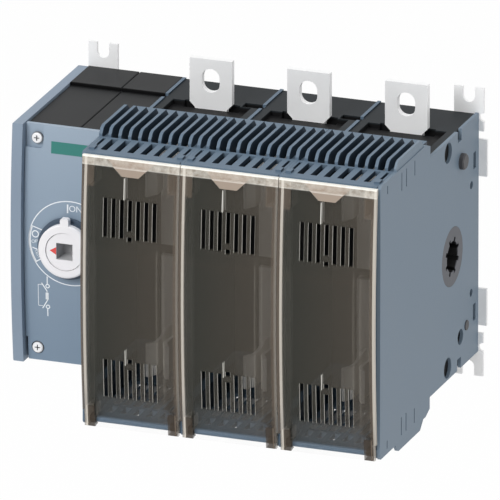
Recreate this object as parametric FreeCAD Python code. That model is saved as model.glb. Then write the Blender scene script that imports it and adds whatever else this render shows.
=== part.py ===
import FreeCAD, Part
import math
import os

# Fuse switch disconnector: three fuse poles side by side, with the switching mechanism at their left.
# Frame: X to the right seen from the front, Y to the back, Z up. The origin is the centre of the four
# fixing slots, on the wall that the brackets lie against. Millimetres.

# Overall sizes
pole_count = 3
pole_pitch = 60.0
plate_thickness = 2.0
mechanism_width = 65.2
fuse_section_depth = 87.0
switch_section_depth = 83.0
fuse_half_height = 83.0
switch_half_height = 73.2
joint_gap = 0.1

# Depths are measured from the housing's front. Those of the switch section are measured from the
# section's own front, and heights given as a rise or a drop from the top of their own section.

# Fixing brackets
bracket_thickness = 2.0
bracket_tab_width = 18.2
bracket_tab_rise = 15.2
bracket_slot_width = 7.4
bracket_slot_drop = 5.6
bracket_slot_inset_right = 6.2
bracket_slot_inset_left = 15.6
bracket_foot_height = 34.5
bracket_ear_drop = 16.2
bracket_ear_reach = 5.0
bracket_gap = 5.0
bracket_gap_depth = 7.0
bracket_notch_drop = 2.7
bracket_notch_radius = 2.6
bracket_screw_radius = 2.0
bracket_screw_length = 7.0
bracket_screw_height = 46.0
bracket_screw_gap = 0.5

# Fuse housing with its cooling fins
housing_wall = 1.6
housing_roof = 3.0
partition_wall = 4.0
front_setback = 2.5
front_step = 1.5
fin_count = 9
fin_pitch = 6.1
fin_thickness = 1.9
fin_rise = 5.6
fin_front_rise = 1.6
fin_shoulder_drop = 1.0
fin_start = 30.5
fin_slope = 5.0
fin_flat_setback = 15.0
fin_end_setback = 9.0
fin_rebate = 0.5
fin_rebate_margin = 1.0
valley_depth = 1.0
grille_count = 6
grille_pitch = 8.1
grille_slot_width = 3.9
grille_start = 9.0
grille_end = 28.2
corner_slot_inset = 2.3
corner_slot_width = 1.8
corner_slot_start = 15.0
catch_width = 3.4
catch_rise = 1.3
catch_inset = 0.3
catch_start = 7.5
catch_end = 12.5
rail_web_end = 14.0
rail_web_thickness = 2.0
rail_web_gap = 0.8
rail_radius = 2.0
rail_setback = 4.6
rail_drop = 3.4
contact_slot_gap = 0.5

# Pole plates and end plate
plate_slope_setback = 7.0
plate_slope_drop = 2.8
plate_bore_clearance = 1.0
end_plate_slits = ((14.0, 5.0), (38.0, 11.0), (46.0, 11.0), (60.0, 9.0))
end_plate_slit_width = 1.1
end_plate_slit_drop = 3.0
end_plate_hole = (30.5, 6.2)
end_plate_hole_drop = 7.4
end_plate_pin_hole = (70.6, 2.4)
end_plate_pin_height = 33.0
end_plate_window = (73.8, 78.2)
end_plate_window_height = 46.5
end_plate_window_length = 10.0
lower_hole = (52.3, 4.7)
lower_hole_height = -54.0

# Fuse covers
cover_side_gap = 0.25
cover_foot_inset = 1.05
cover_heel = 10.0
cover_wall = 2.2
cover_bulge = 4.0
cover_skirt_depth = 11.0
cover_skirt_wall = 1.6
cover_top_gap = 1.0
cover_lip = 3.0
cover_hollow_ends = (6.0, 4.0)
cover_slot_count = 7
cover_slot_pitch = 5.0
cover_slot_width = 2.7
cover_slot_length = 23.5
cover_upper_slot_drop = 24.0
cover_lower_slot_rise = 19.5
cover_short_slot_cut = 4.9
cover_probe_hole = 3.0
cover_arm_width = 4.7
cover_arm_height = 13.0
cover_arm_depth = 12.0
cover_arm_lap = 0.4
cover_hook_wall = 2.2
cover_hook_mouth = (8.0, 6.0)
cover_grip_width = 22.0
cover_grip_height = 6.0
cover_grip_reach = (-1.6, 7.0)
cover_clearance = 0.3

# Switch section
deck_drop = 0.8
recess_depth = 3.0
recess_half_width = 24.0
recess_start = 5.0
recess_end = 47.5
neck_gap_width = 4.0
neck_gap_depth = 10.4
side_pocket_width = 11.0
side_pocket_start = 48.0
side_pocket_end = 55.0
side_pocket_depth = 12.4
plate_notch_start = 47.0
plate_notch_end = 53.3
plate_notch_depth = 6.8
notch_lug_drop = 1.0
shaft_setback = 38.0
running_clearance = 0.08
slide_clearance = 0.15

# Terminals and fuse contacts
bar_thickness = 4.0
bar_clearance = 0.2
terminal_width = 26.0
terminal_setback = 45.0
terminal_rise = 26.8
terminal_hole_radius = 5.5
terminal_hole_length = 14.4
terminal_hole_drop = 13.0
terminal_corner = 3.2
terminal_neck_drop = 2.4
terminal_bend_height = 40.0
terminal_drop_setback = 74.0
blade_offset = 7.8
ear_reach = 24.0
ear_height = 9.0
fuse_bar_width = 22.0
jaw_height = 20.0
jaw_centre_height = 55.0
jaw_length = 37.0
jaw_gap = 5.4
jaw_leaf = 2.0
jaw_shoulder = (2.8, 6.0)
jaw_grip = (6.0, 13.0)
jaw_flare = 3.6
jaw_bar_margin = 3.0

# Moving contacts
blade_width = 9.0
blade_thickness = 2.5
blade_tip_radius = 31.2
rotor_radius = 17.0
rotor_half_length = 25.0
rotor_journal_radius = 11.0
coupling_square = 12.0
coupling_length = 11.0
blade_chamber_half_width = 9.0
blade_chamber_gap = 1.8
rotor_end_gap = 0.3

# Arc plates beside the fixed contacts
arc_plate_angles = (30.0, 39.0, 48.0)
arc_plate_inner = 22.0
arc_plate_outer = 35.0
arc_plate_half_width = 12.5
arc_plate_thickness = 1.2
arc_plate_mouth = 7.0
arc_plate_throat_gap = 1.0

# Mechanism
side_shell_width = 6.5
mechanism_front_depth = 61.8
mechanism_drop = 0.4
mechanism_bulge = 3.7
mechanism_body_depth = 69.5
mechanism_body_drop = 1.6
mechanism_wall = 3.0
mechanism_step = 8.0
gear_room_start = 10.0
gear_room_end = 72.0
gear_room_roof = 4.0
left_shell_wall = 3.0
left_shell_chamfer = 0.4
case_ledge = 4.2
front_plate_thickness = 2.6
front_plate_depth = 66.5
front_plate_gap = 0.3
front_plate_rim = 3.0
front_plate_overlap = 1.0
front_plate_tab = 11.0
front_plate_tab_drop = 14.8
front_plate_tab_radius = 2.5
front_plate_slit = 1.2
front_plate_hole_lap = 2.0
front_screw_offset = 14.0
front_screw_radius = 3.5
front_screw_drop = 8.6
front_screw_seat = 0.6
front_screw_head = 2.4
front_screw_chamfer = 0.8
front_screw_shank = 1.5
front_screw_hole_length = 9.0
front_screw_seat_gap = 0.4
front_screw_cross = (3.4, 0.7, 1.4)
lid_seam_offset = 38.4
lid_start = 76.0
lid_step = 138.8
lid_back_wall = 5.5
lid_front_wall = 3.0
lid_front_lap = 4.0
lid_drop = 1.6
rear_lid_rise = 0.6
lid_thickness = 2.2
lid_gap = 0.5
lid_fit = 0.3
lid_chamfer = 0.4
lid_tongue = 5.0
lid_tongue_wall = 1.7
pocket_floor = 36.0
dial_offset = 34.3
collar_radius = 18.6
collar_flange = 2.2
collar_rise = 4.0
collar_lip = 2.0
ring_radius = 16.2
ring_chamfer = 0.8
ring_peg_width = 5.2
ring_peg_reach = 4.0
ring_peg_root = 1.5
ring_peg_fillet = 1.4
disc_radius = 11.3
disc_setback = 0.6
dial_clearance = 0.32
dial_front_depth = 55.0
drive_square = 10.0
drive_socket_depth = 12.0
spindle_radius = 7.0
gear_teeth = 18
gear_pitch_radius = 18.0
gear_face = 6.5
gear_hub = 5.5
gear_addendum = 1.7
gear_dedendum = 2.1
gear_back_taper = 3.0
spring_turns = 2.75
spring_steps = 16
spring_pitch = 3.4
spring_leaf = 1.2
spring_width = 8.0
spring_setback = 14.0

# Side drive hub and tie rods
hub_radius = 17.7
hub_bore_radius = 9.3
hub_groove_radius = 11.6
hub_groove_width = 2.6
hub_groove_count = 8
hub_bore_depth = 12.0
hub_web = 1.5
hub_socket_depth = 8.0
tie_rod_radius = 3.0
tie_rod_head_radius = 4.8
upper_tie_rod_setback = 53.2
upper_tie_rod_height = 53.4
lower_tie_rod_setback = 62.5
lower_tie_rod_height = -50.2
tie_rod_head_length = 3.0
tie_rod_rivet_length = 0.6
journal_shoulder = 2.2

# Places worked out from the sizes
total_width = mechanism_width + pole_count * pole_pitch + plate_thickness
x_right = (total_width + bracket_slot_inset_right - bracket_slot_inset_left) / 2
x_left = x_right - total_width
x_poles = x_left + mechanism_width
housing_depth = fuse_section_depth + switch_section_depth
y_back = -bracket_thickness
y_front = y_back - housing_depth
pole_width = pole_pitch - plate_thickness - 2 * joint_gap
shaft_depth = fuse_section_depth + shaft_setback
shaft_y = y_front + shaft_depth
terminal_depth = fuse_section_depth + terminal_setback
terminal_drop_depth = fuse_section_depth + terminal_drop_setback
jaw_mouth_depth = fuse_section_depth - partition_wall - bar_thickness - jaw_length
fin_height = fuse_half_height + fin_rise
fin_flat_end = fuse_section_depth - fin_flat_setback
fin_end = fuse_section_depth - fin_end_setback
cover_width = pole_pitch - 2 * cover_side_gap
cover_foot_width = cover_width - 2 * cover_foot_inset
cover_skirt_width = pole_width - 2 * (housing_wall + cover_clearance)
cover_foot_height = fuse_half_height - cover_heel
cover_top = fuse_half_height - cover_top_gap
cover_inner_top = cover_top - cover_lip - cover_skirt_wall
cover_upper_slot_base = cover_top - cover_upper_slot_drop - cover_slot_length
cover_lower_slot_base = cover_lower_slot_rise - fuse_half_height
rail_height = fuse_half_height - rail_drop
rail_half_length = cover_skirt_width / 2 - joint_gap
rail_web_half_length = cover_skirt_width / 2 - cover_arm_width - rail_web_gap
deck_height = switch_half_height - deck_drop
terminal_height = switch_half_height + terminal_rise
terminal_hole_height = terminal_height - terminal_hole_drop
terminal_neck_height = deck_height - terminal_neck_drop
blade_chamber_radius = blade_tip_radius + blade_chamber_gap
arc_plate_throat = blade_tip_radius + arc_plate_throat_gap
bracket_tab_height = switch_half_height + bracket_tab_rise
bracket_slot_height = bracket_tab_height - bracket_slot_drop
bracket_ear_height = switch_half_height - bracket_ear_drop
bracket_notch_height = switch_half_height - bracket_notch_drop
mechanism_half_height = switch_half_height - mechanism_drop
mechanism_body_half_height = mechanism_half_height - mechanism_body_drop
front_plate_half_height = mechanism_body_half_height + front_plate_overlap
front_plate_tab_height = mechanism_half_height - front_plate_tab_drop
front_screw_height = mechanism_half_height - front_screw_drop
lid_height = mechanism_half_height - lid_drop
rear_lid_height = mechanism_half_height + rear_lid_rise
lid_end = housing_depth - lid_back_wall
collar_front = mechanism_bulge + collar_rise
dial_bore_radius = disc_radius + dial_clearance
disc_back = mechanism_body_depth - joint_gap - disc_setback
dial_x = x_left + dial_offset
body_left = x_left + side_shell_width + joint_gap
body_right = x_poles - joint_gap
front_screw_x = x_left + front_screw_offset
left_bracket_x = x_left + bracket_slot_inset_left
right_bracket_x = x_right - bracket_slot_inset_right
cover_foot_swing = math.hypot(rail_setback, fuse_half_height - rail_height) + 2 * cover_clearance
tie_rod_places = (
    (fuse_section_depth + upper_tie_rod_setback, upper_tie_rod_height),
    (fuse_section_depth + lower_tie_rod_setback, lower_tie_rod_height),
)


def depth(value):
    """Y of a place that lies the given distance behind the housing's front."""
    return y_front + value


def section(value):
    """Y of a place that lies the given distance behind the front of the switch section."""
    return depth(fuse_section_depth + value)


def pole_x(index):
    return x_poles + plate_thickness / 2 + pole_pitch * (index + 0.5)


def vec(x, y, z):
    return FreeCAD.Vector(x, y, z)


def block(x0, x1, y0, y1, z0, z1):
    return Part.makeBox(x1 - x0, y1 - y0, z1 - z0, vec(x0, y0, z0))


def rod_x(x0, x1, y, z, radius):
    return Part.makeCylinder(radius, x1 - x0, vec(x0, y, z), vec(1, 0, 0))


def rod_y(y0, y1, x, z, radius):
    return Part.makeCylinder(radius, y1 - y0, vec(x, y0, z), vec(0, 1, 0))


def prism_x(points, x0, x1):
    """Closed outline of (y, z) points drawn out from x0 to x1."""
    corners = [vec(x0, y, z) for y, z in points]
    face = Part.Face(Part.makePolygon(corners + corners[:1]))
    return face.extrude(vec(x1 - x0, 0, 0))


def prism_y(points, y0, y1):
    """Closed outline of (x, z) points drawn out from y0 to y1."""
    corners = [vec(x, y0, z) for x, z in points]
    face = Part.Face(Part.makePolygon(corners + corners[:1]))
    return face.extrude(vec(0, y1 - y0, 0))


def prism_z(points, z0, z1):
    """Closed outline of (x, y) points drawn out from z0 to z1."""
    corners = [vec(x, y, z0) for x, y in points]
    face = Part.Face(Part.makePolygon(corners + corners[:1]))
    return face.extrude(vec(0, 0, z1 - z0))


def obround_y(x, z, radius, length, y0, y1):
    """Slot with round ends, upright, drawn out along Y."""
    half = length / 2 - radius
    slot = block(x - radius, x + radius, y0, y1, z - half, z + half)
    return slot.fuse([rod_y(y0, y1, x, z - half, radius), rod_y(y0, y1, x, z + half, radius)])


def below(shape):
    """The same piece turned over to the lower side."""
    return shape.mirror(vec(0, 0, 0), vec(0, 0, 1))


def both(shapes):
    return shapes + [below(shape) for shape in shapes]


def clean(shape):
    return shape.removeSplitter()


def edges_where(shape, test):
    return [edge for edge in shape.Edges if test(edge)]


def along(edge, axis):
    """True for a straight edge that runs along the axis named by its index."""
    if len(edge.Vertexes) != 2 or edge.Curve.TypeId != "Part::GeomLine":
        return False
    run = edge.Vertexes[1].Point.sub(edge.Vertexes[0].Point)
    return abs(run[axis]) > 0.999 * run.Length


def bent_outline(path, thickness):
    """Outline of a strip of even thickness whose middle follows the path."""
    sides = ([], [])
    for index, (y, z) in enumerate(path):
        before = path[max(index - 1, 0)]
        after = path[min(index + 1, len(path) - 1)]
        normals = []
        for start, end in ((before, (y, z)), ((y, z), after)):
            length = math.hypot(end[0] - start[0], end[1] - start[1])
            if length > 0:
                normals.append((-(end[1] - start[1]) / length, (end[0] - start[0]) / length))
        mean = (sum(n[0] for n in normals), sum(n[1] for n in normals))
        size = mean[0] * normals[0][0] + mean[1] * normals[0][1]
        for side, sign in zip(sides, (0.5, -0.5)):
            side.append((y + sign * thickness * mean[0] / size, z + sign * thickness * mean[1] / size))
    return sides[0] + sides[1][::-1]


def bracket_screw_hole(x):
    """Blind hole in the back for the screw of an upper bracket."""
    return rod_y(
        y_back - bracket_screw_length, y_back + 1, x, bracket_screw_height, bracket_screw_radius + joint_gap,
    )


nodes = {}


def keep(name, *shapes):
    """Store a piece, or a group of like pieces, under its name."""
    solids = [solid for shape in shapes for solid in shape.Solids]
    nodes[name] = solids[0] if len(solids) == 1 else Part.makeCompound(solids)


# Plates between and beside the poles

def fin_profile(base):
    """Side view of a fin: upright foot, sloped shoulder, long flat top and steep back."""
    return [
        (depth(fin_start), base),
        (depth(fin_start), fuse_half_height + fin_front_rise),
        (depth(fin_start + fin_slope / 2), fin_height - fin_shoulder_drop),
        (depth(fin_start + fin_slope), fin_height),
        (depth(fin_flat_end), fin_height),
        (depth(fin_end), base),
    ]


def plate_outline():
    half = [
        (depth(front_setback), fuse_half_height - front_step),
        (depth(front_setback + front_step), fuse_half_height),
    ]
    half += fin_profile(fuse_half_height)
    half += [
        (section(-plate_slope_setback), fuse_half_height),
        (section(0), fuse_half_height - plate_slope_drop),
        (section(0), switch_half_height),
        (section(plate_notch_start), switch_half_height),
        (section(plate_notch_start), switch_half_height - plate_notch_depth),
        (section(plate_notch_end), switch_half_height - plate_notch_depth),
        (section(plate_notch_end), switch_half_height),
        (y_back, switch_half_height),
    ]
    return half + [(y, -z) for y, z in reversed(half)]


def pole_plate(index):
    """Flat wall of a pole, with the shaft bore and the tie rod holes."""
    x0 = x_poles + index * pole_pitch
    x1 = x0 + plate_thickness
    bore = rotor_journal_radius + plate_bore_clearance if index < pole_count else hub_radius + running_clearance
    holes = [rod_x(x0, x1, shaft_y, 0, bore)]
    for rod_depth, height in tie_rod_places:
        holes.append(rod_x(x0, x1, depth(rod_depth), height, tie_rod_radius + joint_gap))
    if index == pole_count:
        holes += end_plate_cuts(x0, x1)
    return clean(prism_x(plate_outline(), x0, x1).cut(holes))


def end_plate_cuts(x0, x1):
    """Openings of the right-hand plate: holes, upright windows, slits, and the rebate beside its fins."""
    setback, radius = lower_hole
    cuts = [rod_x(x0, x1, section(setback), lower_hole_height, radius)]
    for side in (-1, 1):
        setback, radius = end_plate_hole
        height = switch_half_height - end_plate_hole_drop
        cuts.append(rod_x(x0, x1, section(setback), side * height, radius))
        setback, radius = end_plate_pin_hole
        cuts.append(rod_x(x0, x1, section(setback), side * end_plate_pin_height, radius))
        front, back = end_plate_window
        z = side * end_plate_window_height
        half = end_plate_window_length / 2
        cuts.append(block(x0, x1, section(front), section(back), z - half, z + half))
        for start, length in end_plate_slits:
            near = side * (fuse_half_height - end_plate_slit_drop)
            far = near - side * length
            cuts.append(block(
                x0, x1, depth(start), depth(start + end_plate_slit_width), min(near, far), max(near, far),
            ))
        edge = side * fuse_half_height
        far = side * (fin_height + fin_rebate_margin)
        cuts.append(block(
            x1 - fin_rebate, x1 + 1, depth(fin_start - fin_rebate_margin), depth(fin_end + fin_rebate_margin),
            min(edge, far), max(edge, far),
        ))
    return cuts


for index in range(pole_count):
    keep("pole_plate_%d" % (index + 1), pole_plate(index))
keep("end_plate", pole_plate(pole_count))


# Fuse housings

def roof(x, half):
    """Upper wall of a fuse housing: front grille, catches, valley and fins, as one moulding."""
    top = fuse_half_height
    wall = block(x - half, x + half, depth(grille_start - 2), depth(fuse_section_depth), top - housing_roof, top)
    valley = block(x - half, x + half, depth(fin_start), depth(fin_end), top - valley_depth, top)
    wall = wall.cut(valley)
    slots = []
    for number in range(grille_count):
        centre = x + (number - (grille_count - 1) / 2) * grille_pitch
        slots.append(block(
            centre - grille_slot_width / 2, centre + grille_slot_width / 2,
            depth(grille_start), depth(grille_end), top - housing_roof, top,
        ))
    fins = []
    for number in range(fin_count):
        left = x + (number - (fin_count - 1) / 2) * fin_pitch - fin_thickness / 2
        fins.append(prism_x(fin_profile(top - valley_depth), left, left + fin_thickness))
        if number:
            slots.append(block(
                left - fin_pitch + fin_thickness, left, depth(fin_start + 1), depth(fin_flat_end),
                top - housing_roof, top,
            ))
    for side in (-1, 1):
        centre = x + side * (half - corner_slot_inset)
        slots.append(block(
            centre - corner_slot_width / 2, centre + corner_slot_width / 2,
            depth(corner_slot_start), depth(grille_end), top - housing_roof, top,
        ))
        outer = x + side * (half - catch_inset)
        inner = outer - side * catch_width
        fins.append(block(
            min(inner, outer), max(inner, outer), depth(catch_start), depth(catch_end), top - 1, top + catch_rise,
        ))
    return wall.cut(slots).fuse(fins)


def fuse_housing(index):
    """Open-fronted box that takes the fuse link, with finned roof and floor."""
    x = pole_x(index)
    half = pole_width / 2
    walls = []
    for side in (-1, 1):
        inner = x + side * (half - housing_wall)
        outer = x + side * half
        wall = block(
            min(inner, outer), max(inner, outer),
            depth(front_setback), depth(fuse_section_depth),
            -fuse_half_height, fuse_half_height - front_step,
        )
        walls.append(wall)
    back = block(
        x - half, x + half,
        depth(fuse_section_depth - partition_wall), depth(fuse_section_depth),
        -fuse_half_height + plate_slope_drop, fuse_half_height - plate_slope_drop,
    )
    head = block(
        x - half, x + half, depth(front_setback), depth(grille_start),
        fuse_half_height - front_step, fuse_half_height,
    )
    top = roof(x, half)
    housing = walls[0].fuse([walls[1], back, head, top, below(top)])
    # The lower front corner is open, for the foot of the cover to turn in.
    foot = rod_x(
        x - half, x + half, depth(rail_setback), -rail_height, cover_foot_swing,
    )
    housing = housing.cut(foot)
    rail = rod_x(x - rail_half_length, x + rail_half_length, depth(rail_setback), -rail_height, rail_radius)
    web = block(
        x - rail_web_half_length, x + rail_web_half_length,
        depth(rail_setback), depth(rail_web_end),
        -rail_height - rail_web_thickness / 2, -rail_height + rail_web_thickness / 2,
    )
    slots = []
    for side in (-1, 1):
        z0 = blade_offset - ear_height / 2 - contact_slot_gap
        z1 = blade_offset + ear_height / 2 + contact_slot_gap
        slots.append(block(
            x - bar_thickness / 2 - bar_clearance, x + bar_thickness / 2 + bar_clearance,
            depth(fuse_section_depth - partition_wall - 1), depth(fuse_section_depth + 1),
            min(side * z0, side * z1), max(side * z0, side * z1),
        ))
    return clean(housing.fuse([rail, web]).cut(slots))


for index in range(pole_count):
    keep("fuse_housing_%d" % (index + 1), fuse_housing(index))


# Fuse covers

def arc_band(bulge_offset, x0, x1, z0, z1, back):
    """Solid between a bowed front face and a flat back, over the cover's height."""
    middle = (cover_top - fuse_half_height) / 2
    reach = (cover_top + fuse_half_height) / 2
    radius = (reach ** 2 + cover_bulge ** 2) / (2 * cover_bulge)
    centre_y = depth(0) - cover_bulge + radius
    drum = Part.makeCylinder(radius - bulge_offset, x1 - x0, vec(x0, centre_y, middle), vec(1, 0, 0))
    return drum.common(block(x0, x1, depth(-cover_bulge - 1), back, z0, z1))


def fuse_cover(index):
    """Clear cover of a fuse: bowed panel with vent slots, skirt, latch arms above and hooks below."""
    x = pole_x(index)
    half = cover_width / 2
    foot = cover_foot_width / 2
    skirt = cover_skirt_width / 2
    bottom = -fuse_half_height
    panel = arc_band(0, x - half, x + half, -cover_foot_height, cover_top, depth(front_setback - cover_clearance))
    heel = arc_band(0, x - foot, x + foot, bottom, -cover_foot_height, depth(front_setback - cover_clearance))
    low, high = cover_hollow_ends
    inside = arc_band(cover_wall, x - half, x + half, bottom + low, cover_top - high, depth(front_setback + 1))
    plain = panel.fuse(heel).cut(inside)
    sleeve_outer = arc_band(
        cover_wall / 2, x - skirt, x + skirt, -cover_foot_height, cover_top - cover_lip, depth(cover_skirt_depth),
    )
    sleeve_inner = block(
        x - skirt + cover_skirt_wall, x + skirt - cover_skirt_wall, depth(-cover_bulge), depth(cover_skirt_depth),
        -cover_foot_height - 1, cover_inner_top,
    )
    sleeve = sleeve_outer.cut(sleeve_inner)
    cover = plain.fuse(sleeve)
    arms = []
    for side in (-1, 1):
        near = x + side * skirt
        far = near - side * cover_arm_width
        left, right = min(near, far), max(near, far)
        arms.append(arc_band(
            cover_wall / 2, left, right, cover_inner_top - cover_arm_height, cover_inner_top + cover_arm_lap,
            depth(cover_arm_depth),
        ))
        hook_base = bottom + cover_arm_lap
        arms.append(arc_band(
            cover_wall / 2, left, right, hook_base, hook_base + cover_arm_height,
            depth(rail_setback + rail_radius + cover_hook_wall),
        ))
    grip_half = cover_grip_width / 2
    grip_top = cover_inner_top + cover_arm_lap
    grip_base = grip_top - cover_grip_height
    grip = prism_y(
        [(x - grip_half, grip_top), (x + grip_half, grip_top),
         (x + grip_half / 2, grip_base), (x - grip_half / 2, grip_base)],
        depth(cover_grip_reach[0]), depth(cover_grip_reach[1]),
    )
    cover = cover.fuse(arms + [grip])
    cuts = []
    for side in (-1, 1):
        near = x + side * (skirt + 1)
        far = near - side * (cover_arm_width + 2)
        left, right = min(near, far), max(near, far)
        pin = rail_radius + cover_clearance
        cuts.append(rod_x(left, right, depth(rail_setback), -rail_height, pin))
        cuts.append(block(
            left, right, depth(rail_setback), depth(rail_setback + cover_hook_mouth[0]),
            -rail_height - cover_hook_mouth[1], -rail_height + pin,
        ))
    for number in range(cover_slot_count):
        centre = x + (number - (cover_slot_count - 1) / 2) * cover_slot_pitch
        left, right = centre - cover_slot_width / 2, centre + cover_slot_width / 2
        middle = number == cover_slot_count // 2
        short = cover_short_slot_cut if middle else 0
        for base, low, high in (
            (cover_upper_slot_base, short, 0), (cover_lower_slot_base, 0, short),
        ):
            cuts.append(block(
                left, right, depth(-cover_bulge - 1), depth(front_setback),
                base + low, base + cover_slot_length - high,
            ))
        if middle:
            for z in (cover_upper_slot_base, cover_lower_slot_base + cover_slot_length):
                cuts.append(block(
                    centre - cover_probe_hole / 2, centre + cover_probe_hole / 2,
                    depth(-cover_bulge - 1), depth(front_setback),
                    z - cover_probe_hole / 2, z + cover_probe_hole / 2,
                ))
    return clean(cover.cut(cuts))


for index in range(pole_count):
    keep("fuse_cover_%d" % (index + 1), fuse_cover(index))


# Terminals and fuse contacts

def terminal_path():
    """Middle line of a terminal bar, from its free end down to the contact ear."""
    return [
        (depth(terminal_depth + bar_thickness / 2), terminal_height),
        (depth(terminal_depth + bar_thickness / 2), terminal_bend_height),
        (depth(terminal_drop_depth), terminal_bend_height),
        (depth(terminal_drop_depth), blade_offset - ear_height / 2),
    ]


def bent_bar(path, thickness, x0, x1):
    """Strip bent along the path, with rounded bends."""
    bar = prism_x(bent_outline(path, thickness), x0, x1)
    bends = edges_where(
        bar, lambda e: along(e, 0) and abs(e.CenterOfMass.z - terminal_bend_height) < bar_thickness,
    )
    return bar.makeFillet(bar_thickness / 2 - bar_clearance, bends)


def terminal(x):
    """Flat copper bar with an oval hole, bent back inside, with an ear turned towards the rotor."""
    half = terminal_width / 2
    bar = bent_bar(terminal_path(), bar_thickness, x - half, x + half)
    front = depth(terminal_depth) - 1
    back = depth(terminal_depth + bar_thickness) + 1
    hole = obround_y(x, terminal_hole_height, terminal_hole_radius, terminal_hole_length, front, back)
    # Below the chamfered corners the bar is narrower, where it drops through the deck.
    neck = half - terminal_corner
    cuts = [hole]
    for side in (-1, 1):
        cuts.append(prism_y(
            [(x + side * half, terminal_neck_height + terminal_corner), (x + side * neck, terminal_neck_height),
             (x + side * neck, 0), (x + side * (half + 1), 0),
             (x + side * (half + 1), terminal_neck_height + terminal_corner)],
            front, y_back,
        ))
    ear = block(
        x - bar_thickness / 2, x + bar_thickness / 2, shaft_y + ear_reach, depth(terminal_drop_depth),
        blade_offset - ear_height / 2, blade_offset + ear_height / 2,
    )
    return clean(bar.cut(cuts).fuse(ear))


def jaw_outline(x):
    """Plan view of the sprung jaw: two leaves that narrow to the fuse blade and open at the mouth."""
    back = depth(fuse_section_depth - partition_wall - bar_thickness)
    mouth = depth(jaw_mouth_depth)
    shoulder, shoulder_length = jaw_shoulder
    side = [
        (0, back),
        (jaw_gap / 2 + shoulder, back),
        (jaw_gap / 2 + shoulder, back - shoulder_length),
        (jaw_gap / 2, mouth + jaw_grip[1]),
        (jaw_gap / 2, mouth + jaw_grip[0]),
        (jaw_gap / 2 + jaw_flare, mouth),
    ]
    path = [(x - a, b) for a, b in reversed(side)] + [(x + a, b) for a, b in side[1:]]
    return bent_outline(path, jaw_leaf)


def fuse_contact(x):
    """Copper bar on the partition, with the sprung jaw in front and the contact ear behind."""
    front = depth(fuse_section_depth - partition_wall - bar_thickness)
    bar = block(
        x - fuse_bar_width / 2, x + fuse_bar_width / 2, front, front + bar_thickness - joint_gap,
        blade_offset - ear_height / 2, jaw_centre_height + jaw_height / 2 + jaw_bar_margin,
    )
    ear = block(
        x - bar_thickness / 2, x + bar_thickness / 2, front, shaft_y - ear_reach,
        blade_offset - ear_height / 2, blade_offset + ear_height / 2,
    )
    jaw = prism_z(jaw_outline(x), jaw_centre_height - jaw_height / 2, jaw_centre_height + jaw_height / 2)
    return clean(bar.fuse([ear, jaw]))


for index in range(pole_count):
    x = pole_x(index)
    keep("terminal_top_%d" % (index + 1), terminal(x))
    keep("terminal_bottom_%d" % (index + 1), below(terminal(x)))
    keep("fuse_contact_top_%d" % (index + 1), fuse_contact(x))
    keep("fuse_contact_bottom_%d" % (index + 1), below(fuse_contact(x)))


# Arc plates, radial to the rotor on the way of the blade tips

def arc_plate(x, angle, clearance):
    """Steel plate with a notch that the blade tips pass through, at an angle above the rear."""
    half = arc_plate_half_width + clearance
    plate = block(
        x - half, x + half, arc_plate_inner - clearance, arc_plate_outer + clearance,
        -arc_plate_thickness / 2 - clearance, arc_plate_thickness / 2 + clearance,
    )
    if clearance == 0:
        plate = plate.cut(block(
            x - arc_plate_mouth, x + arc_plate_mouth, arc_plate_inner - 1, arc_plate_throat,
            -arc_plate_thickness, arc_plate_thickness,
        ))
    plate.rotate(vec(0, 0, 0), vec(1, 0, 0), angle)
    plate.translate(vec(0, shaft_y, 0))
    return plate


def upper_arc_plates(x, clearance):
    plates = []
    for angle in arc_plate_angles:
        plates += [arc_plate(x, angle, clearance), arc_plate(x, 180 - angle, clearance)]
    return plates


for index in range(pole_count):
    keep("arc_plates_%d" % (index + 1), *both(upper_arc_plates(pole_x(index), 0)))


# Switch chambers, a shell above and a shell below the rotor

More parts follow.
